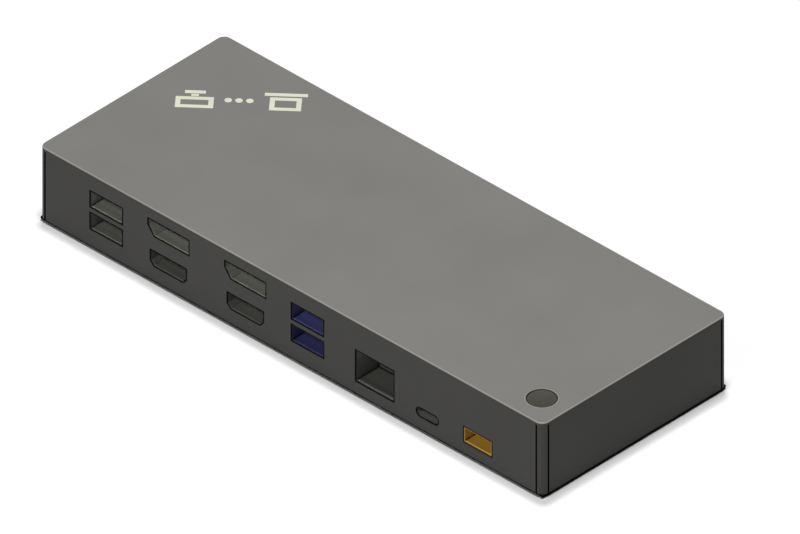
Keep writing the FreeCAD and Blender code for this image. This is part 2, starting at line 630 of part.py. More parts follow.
def header_pins(prefix, grow, low, high):
    for number in range(4):
        x = "button_x + %s * header_pitch" % (number - 1.5)
        half = "(header_pin / 2 + %s)" % grow
        y = "button_y + header_back"
        yield block("%s_%d" % (prefix, number), ("%s - %s" % (x, half), "%s + %s" % (x, half)),
                    ("%s - %s" % (y, half), "%s + %s" % (y, half)), (low, high))


def build_header():
    """The tall pin header that joins the button board to the main board."""
    half = "(2 * header_pitch)"
    y = "button_y + header_back"
    strip = block("header_strip_blank", ("button_x - " + half, "button_x + " + half),
                  ("%s - header_strip / 2" % y, "%s + header_strip / 2" % y),
                  ("board_top", "board_top + header_strip"))
    pins = list(header_pins("header_pin", "0", "board_top", "button_board_top"))
    keep("button_header", fuse("button_header", [strip] + pins))


# ---- board and what stands on it ----

BOARD_SCREWS = (("rear_screw_left", "rear_screw_y"), ("rear_screw_right", "rear_screw_y"),
                ("-front_screw_x", "front_screw_y"), ("front_screw_x", "front_screw_y"))


def pillars():
    for number, (across, along) in enumerate(CORNERS):
        yield number, "spreader_x + %spillar_x" % across, "chips_y + %spillar_y" % along


def build_board():
    blank = block("board_blank", ("-board_half_long", "board_half_long"),
                  ("-board_half_wide", "board_half_wide"), ("board_under", "board_top"))
    holes = []
    for number, x, y in case_bosses():
        holes.append(rod("board_tower_hole_%d" % number, "tower_radius + board_hole_gap", x, y,
                         "board_under - tool_past", "board_thick + 2 * tool_past"))
    for number, (x, y) in enumerate(BOARD_SCREWS):
        holes.append(rod("board_hole_%d" % number, "hole_radius", x, y, "board_under - tool_past",
                         "board_thick + 2 * tool_past"))
    for number, x, y in pillars():
        holes.append(rod("pillar_hole_%d" % number, "hole_radius", x, y, "board_under - tool_past",
                         "board_thick + 2 * tool_past"))
    keep("main_board", cut("main_board", blank, holes))
    screws = [screw("board_screw_%d" % number, "board", True, x, y, "board_top")
              for number, (x, y) in enumerate(BOARD_SCREWS)]
    keep("board_screws", gather("board_screws", screws))


def chip(name, size, x, y="chips_y"):
    """A square chip package that stands on the board."""
    half = size + " / 2"
    return block(name, ("%s - %s" % (x, half), "%s + %s" % (x, half)),
                 ("%s - %s" % (y, half), "%s + %s" % (y, half)), ("board_top", "board_top + chip_high"))


def build_electronics():
    keep("display_hub_chip", chip("display_hub_chip", "display_chip_size", "display_chip_x"))
    keep("usb_hub_chip", chip("usb_hub_chip", "hub_chip_size", "usb_chip_x"))
    keep("power_controller_chip", chip("power_controller_chip", "power_chip_size", "power_chip_x"))
    pads = []
    for name, size, x in (("display", "display_chip_size", "display_chip_x"),
                          ("usb", "hub_chip_size", "usb_chip_x")):
        half = "(%s / 2 - pad_inset)" % size
        pads.append(block(name + "_pad", ("%s - %s" % (x, half), "%s + %s" % (x, half)),
                          ("chips_y - " + half, "chips_y + " + half),
                          ("board_top + chip_high", "spreader_under")))
    keep("thermal_pads", gather("thermal_pads", pads))
    plate = block("spreader_blank", ("spreader_x - spreader_long / 2", "spreader_x + spreader_long / 2"),
                  ("chips_y - spreader_wide / 2", "chips_y + spreader_wide / 2"),
                  ("spreader_under", "spreader_under + spreader_thick"))
    keep("heat_spreader", cut("heat_spreader", plate, [
        rod("spreader_hole_%d" % number, "hole_radius", x, y, "spreader_under - tool_past",
            "spreader_thick + 2 * tool_past")
        for number, x, y in pillars()]))
    posts = []
    for number, x, y in pillars():
        post = rod("pillar_blank_%d" % number, "pillar_radius", x, y, "board_top", "chip_high + pad_high")
        bore = rod("pillar_bore_%d" % number, "hole_radius", x, y, "board_top - tool_past",
                   "chip_high + pad_high + 2 * tool_past")
        posts.append(cut("pillar_%d" % number, post, [bore]))
    keep("spreader_pillars", gather("spreader_pillars", posts))
    keep("spreader_screws", gather("spreader_screws", [
        screw("spreader_screw_%d" % number, "board", True, x, y, "spreader_under + spreader_thick")
        for number, x, y in pillars()]))
    coils = []
    for number in range(3):
        x = "coil_first_x + %d * coil_pitch" % number
        half = "coil_size / 2"
        coils.append(block("coil_%d" % number, ("%s - %s" % (x, half), "%s + %s" % (x, half)),
                           ("chips_y - " + half, "chips_y + " + half),
                           ("board_top", "board_top + coil_high")))
    keep("power_inductors", gather("power_inductors", coils))
    keep("filter_capacitors", gather("filter_capacitors", [
        rod("can_%d" % number, "can_radius", "can_first_x + %d * can_pitch" % number, "chips_y",
            "board_top", "can_high") for number in range(2)]))
    y = "-half_depth + magnetics_back"
    keep("ethernet_transformer", block(
        "ethernet_transformer", ("ethernet_x - magnetics_long / 2", "ethernet_x + magnetics_long / 2"),
        ("%s - magnetics_wide / 2" % y, "%s + magnetics_wide / 2" % y),
        ("board_top", "board_top + magnetics_high")))


def build_ballast():
    half = "ballast_long / 2"
    plate = block("ballast_blank", ("-" + half, half),
                  ("ballast_y - ballast_wide / 2", "ballast_y + ballast_wide / 2"),
                  ("lid_under - ballast_thick", "lid_under"))
    holes = [rod("ballast_hole_%d" % number, "peg_radius + peg_gap",
                 across + "(ballast_long / 2 - peg_inset)",
                 "ballast_y + %s(ballast_wide / 2 - peg_inset)" % along,
                 "lid_under - ballast_thick - tool_past",
                 "ballast_thick + 2 * tool_past") for number, (across, along) in enumerate(CORNERS)]
    keep("ballast_plate", cut("ballast_plate", plate, holes))


def build_lock_bracket():
    wall = "-(half_length - end_wall - tight_gap)"
    inner = wall + " + bracket_thick"
    y = ("door_y - bracket_half_wide", "door_y + bracket_half_wide")
    upright_plate = block("bracket_plate", (wall, inner), y, ("board_top", "board_top + bracket_high"))
    foot = block("bracket_foot_plate", (wall, inner + " + bracket_foot"), y,
                 ("board_top", "board_top + bracket_thick"))
    keep("lock_bracket", cut("lock_bracket", fuse("bracket_blank", [upright_plate, foot]),
                             [lock_slot("bracket_slot", "half_length - end_wall - slot_reach")]))


# ---- sockets: each is drawn about its own middle, at the panel's outer face, on the board's top ----

def seat(item, side, x):
    """Place a socket's piece on the port side, or turned round on the user's side."""
    turn(item, 0 if side == "port" else 180)
    return move(item, x, "-half_depth" if side == "port" else "half_depth", "board_top")


def outline(wide, high, sill, inset, cuts=(None, None)):
    """A socket's opening seen from outside: a rectangle, with its lower corners cut where given."""
    inset = "(%s)" % inset
    left, right = "-%s / 2 + %s" % (wide, inset), "%s / 2 - %s" % (wide, inset)
    low, top = "%s + %s" % (sill, inset), "%s + %s - %s" % (sill, high, inset)
    points = []
    for corner, sign in ((left, "+"), (right, "-")):
        name = cuts[0] if sign == "+" else cuts[1]
        if name is None:
            points.append([(corner, low)])
            continue
        across, up = name + "_cut_wide", name + "_cut_high"
        # The sloping edge moves inwards by the inset too, so the cut gets smaller by this much.
        slope = "sqrt(1 / {a} ^ 2 + 1 / {b} ^ 2)".format(a=across, b=up)
        run = "({a} + {i} * ({a} * {s} - {a} / {b} - 1))".format(a=across, b=up, s=slope, i=inset)
        rise = "({b} + {i} * ({b} * {s} - {b} / {a} - 1))".format(a=across, b=up, s=slope, i=inset)
        points.append([(corner, "%s + %s" % (low, rise)), ("%s %s %s" % (corner, sign, run), low)])
    return points[0] + points[1][::-1] + [(right, top), (left, top)]


def opening(wide, high, sill, cuts=(None, None)):
    """A function that makes a prism of that outline, inset, from one depth to another."""
    def make(name, inset, front, back):
        body = extrude(name, "XZ_Plane", outline(wide, high, sill, inset, cuts),
                       "(%s) - (%s)" % (back, front), backwards=True)
        shifted = document.addObject("Part::Compound", name + "_at_depth")
        shifted.Links = [body]
        move(body, y=front)
        return shifted
    return make


def stadium(wide, high, sill):
    """The same for an opening with round ends."""
    def make(name, inset, front, back):
        radius = "(%s / 2 - (%s))" % (high, inset)
        middle = "(%s / 2 - %s / 2)" % (wide, high)
        centre = "%s + %s / 2" % (sill, high)
        pieces = [block(name + "_middle", ("-" + middle, middle), (front, back),
                        ("%s - %s" % (centre, radius), "%s + %s" % (centre, radius)))]
        for end, sign in LEFT_RIGHT:
            pieces.append(rod("%s_%s" % (name, end), radius, sign + middle, front, centre,
                              "(%s) - (%s)" % (back, front), "y"))
        return fuse(name, pieces)
    return make


def round_window(name, inset, front, back):
    return gather(name, [rod(name + "_rod", "audio_nose + port_gap", "0", front,
                             "audio_axis_high", "(%s) - (%s)" % (back, front), "y")])


USB_LOW = opening("usb_a_wide", "usb_a_high", "usb_a_sill")
USB_HIGH = opening("usb_a_wide", "usb_a_high", "(usb_a_sill + usb_a_pitch)")
DISPLAYPORT = opening("dp_wide", "dp_high", "dp_sill", ("dp", None))
HDMI = opening("hdmi_wide", "hdmi_high", "hdmi_sill", ("hdmi", "hdmi"))
ETHERNET = opening("ethernet_wide", "ethernet_high", "ethernet_sill")
USB_C = stadium("usb_c_wide", "usb_c_high", "usb_c_sill")
INLET = opening("inlet_wide", "inlet_high", "inlet_sill")

SOCKET_WINDOWS = (
    ("usb_grey_low", USB_LOW, "port", "usb_grey_x"), ("usb_grey_high", USB_HIGH, "port", "usb_grey_x"),
    ("dp_left", DISPLAYPORT, "port", "video_left_x"), ("hdmi_left", HDMI, "port", "video_left_x"),
    ("dp_right", DISPLAYPORT, "port", "video_right_x"), ("hdmi_right", HDMI, "port", "video_right_x"),
    ("usb_blue_low", USB_LOW, "port", "usb_blue_x"), ("usb_blue_high", USB_HIGH, "port", "usb_blue_x"),
    ("ethernet", ETHERNET, "port", "ethernet_x"), ("usb_c_host", USB_C, "port", "usb_c_x"),
    ("inlet", INLET, "port", "inlet_x"),
    ("usb_c_front", USB_C, "user", "front_usb_c_x"), ("usb_a_front", USB_LOW, "user", "front_usb_a_x"),
    ("audio", round_window, "user", "audio_x"),
)


def build_usb_a(name, side, x, levels, lined, contacts_per_level):
    """A USB-A socket of one or two levels. A lined one has plastic noses, not steel, in its windows."""
    sills = ["usb_a_sill", "(usb_a_sill + usb_a_pitch)"][:levels]
    makers = [USB_LOW, USB_HIGH][:levels]
    top = sills[-1] + " + usb_a_high + cage_over"
    inside = "cage_front + shell_wall"
    half = "usb_cage_half"
    fit = "port_gap + shell_wall"
    mouth_end = inside + " + nose_root + tight_gap"
    cage = block(name + "_cage", ("-" + half, half), ("cage_front", "usb_a_deep"), ("0", top))
    hollow = block(name + "_cage_hollow", ("-%s + shell_wall" % half, half + " - shell_wall"),
                   (inside, "usb_a_deep - shell_wall"), ("-tool_past", top + " - shell_wall"))
    metal = [cage]
    noses = []
    mouths = []
    for level, make in enumerate(makers):
        tag = "%s_%d" % (name, level)
        if lined:
            noses.append(make(tag + "_nose", "port_gap", "port_recess", inside + " + nose_root"))
            mouths.append(make(tag + "_mouth", "port_gap - tight_gap", "0", mouth_end))
        else:
            metal.append(make(tag + "_tube", "port_gap", "port_recess", "cage_front + root_sink"))
            mouths.append(make(tag + "_mouth", fit, "0", mouth_end))
    shell = cut(name + "_shell", fuse(name + "_metal", metal), [hollow] + mouths)
    keep(name + "_shell", seat(shell, side, x))

    inner_half = half + " - shell_wall - tight_gap"
    filling = block(name + "_filling", ("-(%s)" % inner_half, inner_half),
                    (inside + " + tight_gap", "usb_a_deep - shell_wall - tight_gap"),
                    ("0", top + " - shell_wall - tight_gap"))
    cavities = [make("%s_%d_cavity" % (name, level), fit, "0", "usb_a_cavity")
                for level, make in enumerate(makers)]
    blank = cut(name + "_hollowed", fuse(name + "_plastic", [filling] + noses), cavities)
    tongues = []
    strips = []
    for level, sill in enumerate(sills):
        under = "%s + usb_a_high - port_gap - shell_wall - usb_a_tongue_drop - usb_a_tongue_thick" % sill
        half_tongue = "usb_a_tongue_wide / 2"
        tongues.append(block("%s_%d_tongue" % (name, level), ("-" + half_tongue, half_tongue),
                             ("usb_a_tongue_start", "usb_a_cavity + tongue_root"),
                             (under, under + " + usb_a_tongue_thick")))
        for number in range(contacts_per_level):
            place = (number - (contacts_per_level - 1) / 2) / contacts_per_level
            middle = "(%s * usb_a_tongue_wide)" % place
            strips.append(block("%s_%d_strip_%d" % (name, level, number),
                                (middle + " - strip_wide / 2", middle + " + strip_wide / 2"),
                                ("usb_a_tongue_start + strip_inset", "usb_a_cavity - strip_inset"),
                                (under + " - strip_thick", under)))
    keep(name + "_insulator", seat(fuse(name + "_insulator", [blank] + tongues), side, x))
    keep(name + "_contacts", seat(gather(name + "_contacts", strips), side, x))


def build_video(side_name, x):
    """A stack of a DisplayPort socket over an HDMI socket in one carrier."""
    name = "video_" + side_name
    half = "(dp_wide / 2 + video_side)"
    carrier = block(name + "_block", ("-" + half, half), ("cage_front", "video_deep"),
                    ("0", "dp_sill + dp_high + video_over"))
    sockets = (("displayport", DISPLAYPORT, "dp"), ("hdmi", HDMI, "hdmi"))
    seats = [make("%s_%s_seat" % (name, kind), "port_gap - tight_gap", "0", "video_shell_deep + tight_gap")
             for kind, make, cells in sockets]
    keep("video_carrier_" + side_name, seat(cut(name + "_carrier", carrier, seats), "port", x))
    tongues = []
    for kind, make, cells in sockets:
        tag = "%s_%s" % (kind, side_name)
        tube = cut(tag + "_shell", make(tag + "_outer", "port_gap", "port_recess", "video_shell_deep"),
                   [make(tag + "_inner", "port_gap + video_wall", "0", "video_shell_deep + tool_past")])
        keep(tag + "_shell", seat(tube, "port", x))
        plug = make(tag + "_plug", "port_gap + video_wall + plug_gap", "video_cavity", "video_shell_deep")
        level = "%s_sill + %s_high / 2 + blade_lift" % (cells, cells)
        blade = block(tag + "_blade", ("-%s_blade_wide / 2" % cells, "%s_blade_wide / 2" % cells),
                      ("blade_start", "video_cavity + tongue_root"), (level, level + " + blade_thick"))
        tongues.append(fuse(tag + "_tongue", [plug, blade]))
    keep("video_tongues_" + side_name, seat(gather("video_tongues_" + side_name, tongues), "port", x))


def build_ethernet():
    half = "(ethernet_wide / 2 + cage_side)"
    top = "ethernet_sill + ethernet_high + cage_over"
    inside = "cage_front + shell_wall"
    fit = "port_gap + shell_wall"
    cage = block("ethernet_cage", ("-" + half, half), ("cage_front", "ethernet_deep"), ("0", top))
    hollow = block("ethernet_cage_hollow", ("-%s + shell_wall" % half, half + " - shell_wall"),
                   (inside, "ethernet_deep - shell_wall"), ("-tool_past", top + " - shell_wall"))
    nose = ETHERNET("ethernet_nose", "port_gap", "port_recess", "cage_front + root_sink")
    mouth = ETHERNET("ethernet_mouth", fit, "0", inside + " + nose_root + tight_gap")
    shell = cut("ethernet_shell", fuse("ethernet_metal", [cage, nose]), [hollow, mouth])
    keep("ethernet_shell", seat(shell, "port", "ethernet_x"))
    inner_half = half + " - shell_wall - tight_gap"
    filling = block("ethernet_filling", ("-(%s)" % inner_half, inner_half),
                    (inside + " + tight_gap", "ethernet_deep - shell_wall - tight_gap"),
                    ("0", top + " - shell_wall - tight_gap"))
    cavity = ETHERNET("ethernet_cavity", fit, "0", "ethernet_pocket")
    keep("ethernet_insert", seat(cut("ethernet_insert", filling, [cavity]), "port", "ethernet_x"))
    wires = []
    ceiling = "ethernet_sill + ethernet_high - (%s)" % fit
    for number in range(8):
        wire = document.addObject("Part::Box", "ethernet_wire_%d" % number)
        bind(wire, Length="ethernet_wire", Width="ethernet_wire_long", Height="ethernet_wire")
        turn(wire, document_value("ethernet_wire_tilt"), (1, 0, 0))
        move(wire, "%s * ethernet_wire_pitch - ethernet_wire / 2" % (number - 3.5),
             "ethernet_pocket - tight_gap - ethernet_wire_long",
             ceiling + " - ethernet_wire_long * sin(ethernet_wire_tilt) - ethernet_wire - tight_gap")
        wires.append(wire)
    keep("ethernet_contacts", seat(gather("ethernet_contacts", wires), "port", "ethernet_x"))


def build_usb_c(name, side, x):
    leg_x = "usb_c_wide / 2 - port_gap"
    parts = [USB_C(name + "_outer", "port_gap", "port_recess", "usb_c_deep")]
    for end, sign in LEFT_RIGHT:
        spans = (leg_x + " - usb_c_leg_wide", leg_x)
        if sign:
            spans = ("-(%s)" % leg_x, "-(%s) + usb_c_leg_wide" % leg_x)
        parts.append(block("%s_leg_%s" % (name, end), spans,
                           ("usb_c_leg_back", "usb_c_leg_back + usb_c_leg_long"),
                           ("0", "usb_c_sill + usb_c_high / 2")))
    shell = cut(name + "_shell", fuse(name + "_metal", parts),
                [USB_C(name + "_inner", "port_gap + usb_c_wall", "0", "usb_c_deep + tool_past")])
    keep(name + "_shell", seat(shell, side, x))
    plug = USB_C(name + "_plug", "port_gap + usb_c_wall + plug_gap", "usb_c_cavity", "usb_c_deep")
    level = "usb_c_sill + usb_c_high / 2"
    blade = block(name + "_blade", ("-usb_c_blade_wide / 2", "usb_c_blade_wide / 2"),
                  ("usb_c_blade_start", "usb_c_cavity + tongue_root"),
                  (level + " - usb_c_blade_thick / 2", level + " + usb_c_blade_thick / 2"))
    keep(name + "_tongue", seat(fuse(name + "_tongue", [plug, blade]), side, x))


def build_inlet():
    half = "(inlet_wide / 2 + inlet_side)"
    body = block("inlet_block", ("-" + half, half), ("cage_front", "inlet_deep"),
                 ("0", "inlet_sill + inlet_high + inlet_over"))
    nose = INLET("inlet_nose", "port_gap", "port_recess", "cage_front + nose_root + root_sink")
    cavity = INLET("inlet_cavity_shape", "port_gap + inlet_wall", "0", "inlet_cavity")
    level = "inlet_sill + inlet_high / 2"
    bore = rod("inlet_pin_hole", "pin_radius", "0", "inlet_cavity - tool_past", level, "inlet_deep", "y")
    keep("power_inlet", seat(cut("power_inlet", fuse("inlet_plastic", [body, nose]), [cavity, bore]),
                             "port", "inlet_x"))
    pin = rod("inlet_pin", "pin_radius", "0", "pin_start", level, "inlet_deep - pin_start", "y")
    keep("power_inlet_pin", seat(gather("power_inlet_pin", [pin]), "port", "inlet_x"))


def build_audio():
    body = block("audio_block", ("-audio_half_wide", "audio_half_wide"), ("cage_front", "audio_deep"),
                 ("0", "audio_high"))
    nose = rod("audio_nose_rod", "audio_nose", "0", "port_recess", "audio_axis_high", "cage_front", "y")
    bore = rod("audio_bore_rod", "audio_bore", "0", "-tool_past", "audio_axis_high",
               "audio_bore_deep + tool_past", "y")
    jack = cut("audio_jack", fuse("audio_plastic", [body, nose]), [bore])
    keep("audio_jack", seat(jack, "user", "audio_x"))


# ---- build everything, check it and write it ----

build_top_cover()
build_panels()
build_base()
build_feet_and_screws()
build_badge()
build_button()
build_header()
build_board()
build_electronics()
build_ballast()
build_lock_bracket()
build_usb_a("usb_grey", "port", "usb_grey_x", levels=2, lined=False, contacts_per_level=4)
build_usb_a("usb_blue", "port", "usb_blue_x", levels=2, lined=True, contacts_per_level=5)
build_usb_a("usb_front", "user", "front_usb_a_x", levels=1, lined=False, contacts_per_level=4)
build_video("left", "video_left_x")
build_video("right", "video_right_x")
build_ethernet()
build_usb_c("usb_c_host", "port", "usb_c_x")
build_usb_c("usb_c_front", "user", "front_usb_c_x")
build_inlet()
build_audio()
document.recompute()

for item in document.Objects:
    if {"Invalid", "Error"} & set(item.State):
        raise RuntimeError("%s failed: %s" % (item.Name, item.State))
os.makedirs("parts", exist_ok=True)
for label, item in sub_parts.items():
    if item.Shape.isNull() or not item.Shape.isValid() or not item.Shape.Solids:
        raise RuntimeError(label + " has no valid solid")
    item.Shape.exportStep(os.path.join("parts", label + ".step"))
print(len(sub_parts), "sub-parts")
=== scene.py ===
import bpy
import bmesh
import json
import math
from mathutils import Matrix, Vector


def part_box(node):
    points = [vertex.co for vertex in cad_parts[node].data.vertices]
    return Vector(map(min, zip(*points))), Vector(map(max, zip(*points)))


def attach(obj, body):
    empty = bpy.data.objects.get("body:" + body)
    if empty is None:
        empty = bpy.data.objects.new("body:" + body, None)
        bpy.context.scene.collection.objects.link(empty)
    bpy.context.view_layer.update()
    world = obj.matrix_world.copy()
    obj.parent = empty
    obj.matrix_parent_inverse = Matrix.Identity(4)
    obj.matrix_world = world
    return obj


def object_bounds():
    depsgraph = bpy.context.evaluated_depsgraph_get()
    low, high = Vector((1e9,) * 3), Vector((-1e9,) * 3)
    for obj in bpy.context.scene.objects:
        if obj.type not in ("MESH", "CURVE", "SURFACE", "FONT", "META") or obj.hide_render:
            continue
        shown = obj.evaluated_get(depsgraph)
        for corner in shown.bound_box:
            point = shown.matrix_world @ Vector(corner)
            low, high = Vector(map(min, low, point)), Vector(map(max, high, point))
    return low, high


# Looks for the laptop docking station: camera, studio, and a procedural material for every piece.
# Metres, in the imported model's own frame: port face towards -Y, user's face towards +Y, +Z up.

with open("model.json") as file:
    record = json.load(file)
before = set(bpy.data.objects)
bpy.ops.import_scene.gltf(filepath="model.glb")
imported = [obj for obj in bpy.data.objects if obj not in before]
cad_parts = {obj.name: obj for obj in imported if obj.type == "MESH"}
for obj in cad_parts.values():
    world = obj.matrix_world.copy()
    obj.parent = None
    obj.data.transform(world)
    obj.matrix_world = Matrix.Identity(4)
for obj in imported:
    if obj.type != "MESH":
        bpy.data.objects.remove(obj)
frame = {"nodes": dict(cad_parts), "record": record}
cad_low, cad_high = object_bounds()
nodes = frame["nodes"]
MM = 0.001


# ---- camera ----

AZIMUTH = math.radians(43.88)
ELEVATION = math.radians(35.31)
VIEW_WIDTH = 0.22893
AIM_RIGHT = 4.8 * MM
AIM_UP = -0.01 * MM
CAMERA_DISTANCE = 1.0
NEAREST = 0.01
FARTHEST = 10.0


def direction_towards(azimuth, elevation):
    """The direction of a place seen from the object, its azimuth counted from the port face's side."""
    return Vector((math.sin(azimuth) * math.cos(elevation), -math.cos(azimuth) * math.cos(elevation),
                   math.sin(elevation)))


def make_camera():
    """An orthographic camera on the port side, over the right-hand corner."""
    back = direction_towards(AZIMUTH, ELEVATION)
    right = Vector((math.cos(AZIMUTH), math.sin(AZIMUTH), 0))
    up = back.cross(right)
    data = bpy.data.cameras.new("camera")
    data.type = "ORTHO"
    data.ortho_scale = VIEW_WIDTH
    data.clip_start = NEAREST
    data.clip_end = FARTHEST
    camera = bpy.data.objects.new("camera", data)
    centre = (cad_low + cad_high) / 2
    camera.location = centre + right * AIM_RIGHT + up * AIM_UP + back * CAMERA_DISTANCE
    camera.rotation_mode = "QUATERNION"
    camera.rotation_quaternion = (-back).to_track_quat("-Z", "Y")
    bpy.context.scene.collection.objects.link(camera)
    bpy.context.scene.camera = camera


# ---- shader building blocks ----

# The EDGE numbers set the painted highlight along rounded edges.
EDGE_GAIN_LOW = 1.3
EDGE_GAIN_HIGH = 0.55
EDGE_STARTS = (0.2, 0.35)
EDGE_ENDS = (0.94, 0.985)
# The MOUTH, LOWER, LEVEL and WALL numbers, with RIM_START and RIM_END, set the painted shade in the sockets.
RIM_PAINTED_SHADE = 0.02
MOUTH_PAINTED_SHADE = 0.7
MOUTH_DEEP = 4 * MM
LOWER_PAINTED_SHADE = 0.72
LEVEL_HEIGHTS = (12.0 * MM, 13.6 * MM)
WALL_PAINTED_SHADE = 0.6
# The CREVICE numbers set the painted shade in inner corners.
CREVICE_SAMPLES = 16
CREVICE_REACH = 0.6 * MM
CREVICE_DARK = 0.1
CREVICE_OPENNESS = (0.66, 0.9)
# The SEAM, CORNER and LID numbers set the painted shade along the upright seams.
SEAM_DARK = 0.02
SEAM_REACH = 1.5 * MM
RIM_START = 0.24 * MM
RIM_END = 0.16 * MM
CORNER_LAND = 2.48 * MM
SEAM_HALF = 0.32 * MM
LID_EDGE_LOW = 1.1 * MM
LID_EDGE_HIGH = 0.9 * MM


def new_material(name):
    material = bpy.data.materials.new(name)
    material.use_nodes = True
    tree = material.node_tree
    return material, tree, tree.nodes["Principled BSDF"]


def add(tree, kind, **settings):
    """A node with its settings."""
    node = tree.nodes.new(kind)
    for key, value in settings.items():
        setattr(node, key, value)
    return node


def metres(tree):
    return add(tree, "ShaderNodeTexCoord").outputs["Object"]


def noise(tree, size_mm, detail=2.0, roughness=0.5, stretch=(1, 1, 1)):
    """Noise whose features are about size_mm across, as a value round 0.5."""
    mapping = add(tree, "ShaderNodeMapping")
    mapping.inputs["Scale"].default_value = stretch
    tree.links.new(metres(tree), mapping.inputs["Vector"])
    texture = add(tree, "ShaderNodeTexNoise")
    texture.inputs["Scale"].default_value = 1 / (size_mm * MM)
    texture.inputs["Detail"].default_value = detail
    texture.inputs["Roughness"].default_value = roughness
    tree.links.new(mapping.outputs["Vector"], texture.inputs["Vector"])
    return texture.outputs["Fac"]


def ramp(tree, value, low, high, from_low=0.3, from_high=0.7):
    """Map a value to a range of numbers."""
    node = add(tree, "ShaderNodeMapRange")
    node.inputs["From Min"].default_value = from_low
    node.inputs["From Max"].default_value = from_high
    node.inputs["To Min"].default_value = low
    node.inputs["To Max"].default_value = high
    tree.links.new(value, node.inputs["Value"])
    return node.outputs["Result"]


def tint(tree, colour, factor):
    """A colour scaled by a factor that varies over the surface."""
    node = add(tree, "ShaderNodeVectorMath", operation="SCALE")
    node.inputs[0].default_value = colour
    tree.links.new(factor, node.inputs["Scale"])
    return node.outputs["Vector"]


def multiply(tree, first, second):
    node = add(tree, "ShaderNodeMath", operation="MULTIPLY")
    tree.links.new(first, node.inputs[0])
    tree.links.new(second, node.inputs[1])
    return node.outputs["Value"]


def painted_edge_highlight(tree):
    """One on level and upright faces, and more where an edge rolls over: a painted highlight along rounded
    edges.
    """
    split = add(tree, "ShaderNodeSeparateXYZ")
    tree.links.new(add(tree, "ShaderNodeTexCoord").outputs["Normal"], split.inputs["Vector"])
    slope = split.outputs["Z"]
    band = multiply(tree, ramp(tree, slope, 0, 1, *EDGE_STARTS), ramp(tree, slope, 1, 0, *EDGE_ENDS))
    gain = ramp(tree, slope, EDGE_GAIN_LOW, EDGE_GAIN_HIGH, EDGE_STARTS[1], EDGE_ENDS[0])
    highlight = multiply(tree, band, gain)
    return ramp(tree, highlight, 1, 2, 0, 1)


def painted_socket_shade(tree, walls, rims):
    """Painted shade in the sockets: dark rims round each window, darker towards the mouth and in the lower
    level, upright walls darker than floors, and darker inner corners.
    """
    split = add(tree, "ShaderNodeSeparateXYZ")
    tree.links.new(metres(tree), split.inputs["Vector"])
    away = add(tree, "ShaderNodeMath", operation="ABSOLUTE")
    tree.links.new(split.outputs["Y"], away.inputs[0])
    face = max(abs(cad_low.y), abs(cad_high.y))
    rim = ramp(tree, away.outputs["Value"], 1, rims, face - RIM_START, face - RIM_END)
    mouth_painted_shade = ramp(tree, away.outputs["Value"], 1, MOUTH_PAINTED_SHADE, face - MOUTH_DEEP, face)
    level = ramp(tree, split.outputs["Z"], LOWER_PAINTED_SHADE, 1, *LEVEL_HEIGHTS)
    shade = multiply(tree, multiply(tree, rim, mouth_painted_shade), multiply(tree, level, painted_corner_shade(tree)))
    if walls < 1:
        facing = add(tree, "ShaderNodeSeparateXYZ")
        tree.links.new(add(tree, "ShaderNodeTexCoord").outputs["Normal"], facing.inputs["Vector"])
        shade = multiply(tree, shade, ramp(tree, facing.outputs["Z"], walls, 1, 0, 1))
    return shade


def painted_corner_shade(tree):
    """One on open surfaces, falling to dark along inner corners: a painted shade from local occlusion."""
    open_share = add(tree, "ShaderNodeAmbientOcclusion", samples=CREVICE_SAMPLES, only_local=True)
    open_share.inputs["Distance"].default_value = CREVICE_REACH
    return ramp(tree, open_share.outputs["AO"], CREVICE_DARK, 1, *CREVICE_OPENNESS)


def near(tree, value, middle, half_wide):
    """One within a narrow band round a value, and nothing outside it."""
    node = add(tree, "ShaderNodeMath", operation="COMPARE")
    node.inputs[1].default_value = middle
    node.inputs[2].default_value = half_wide
    tree.links.new(value, node.inputs[0])
    return node.outputs["Value"]


def above(tree, value, limit):
    node = add(tree, "ShaderNodeMath", operation="GREATER_THAN")
    node.inputs[1].default_value = limit
    tree.links.new(value, node.inputs[0])
    return node.outputs["Value"]


def painted_seam_shade(tree):
    """One, falling to dark in a painted shade along the upright seams beside each rounded corner, below the
    lid's edge.
    """
    split = add(tree, "ShaderNodeSeparateXYZ")
    tree.links.new(metres(tree), split.inputs["Vector"])
    reach = {}
    for axis in "XY":
        away = add(tree, "ShaderNodeMath", operation="ABSOLUTE")
        tree.links.new(split.outputs[axis], away.inputs[0])
        reach[axis] = away.outputs["Value"]
    half = {"X": cad_high.x, "Y": cad_high.y}
    lines = []
    for along, across in (("X", "Y"), ("Y", "X")):
        lines.append(multiply(tree, near(tree, reach[along], half[along] - CORNER_LAND, SEAM_HALF),
                              above(tree, reach[across], half[across] - SEAM_REACH)))
    both = add(tree, "ShaderNodeMath", operation="MAXIMUM")
    tree.links.new(lines[0], both.inputs[0])
    tree.links.new(lines[1], both.inputs[1])
    under_lid = ramp(tree, split.outputs["Z"], 1, 0, cad_high.z - LID_EDGE_LOW, cad_high.z - LID_EDGE_HIGH)
    return ramp(tree, multiply(tree, both.outputs["Value"], under_lid), 1, SEAM_DARK, 0, 1)


def bump(tree, height, distance_mm, strength=1.0, under=None):
    node = add(tree, "ShaderNodeBump")
    node.inputs["Strength"].default_value = strength
    node.inputs["Distance"].default_value = distance_mm * MM
    tree.links.new(height, node.inputs["Height"])
    if under is not None:
        tree.links.new(under, node.inputs["Normal"])
    return node.outputs["Normal"]


# ---- materials ----

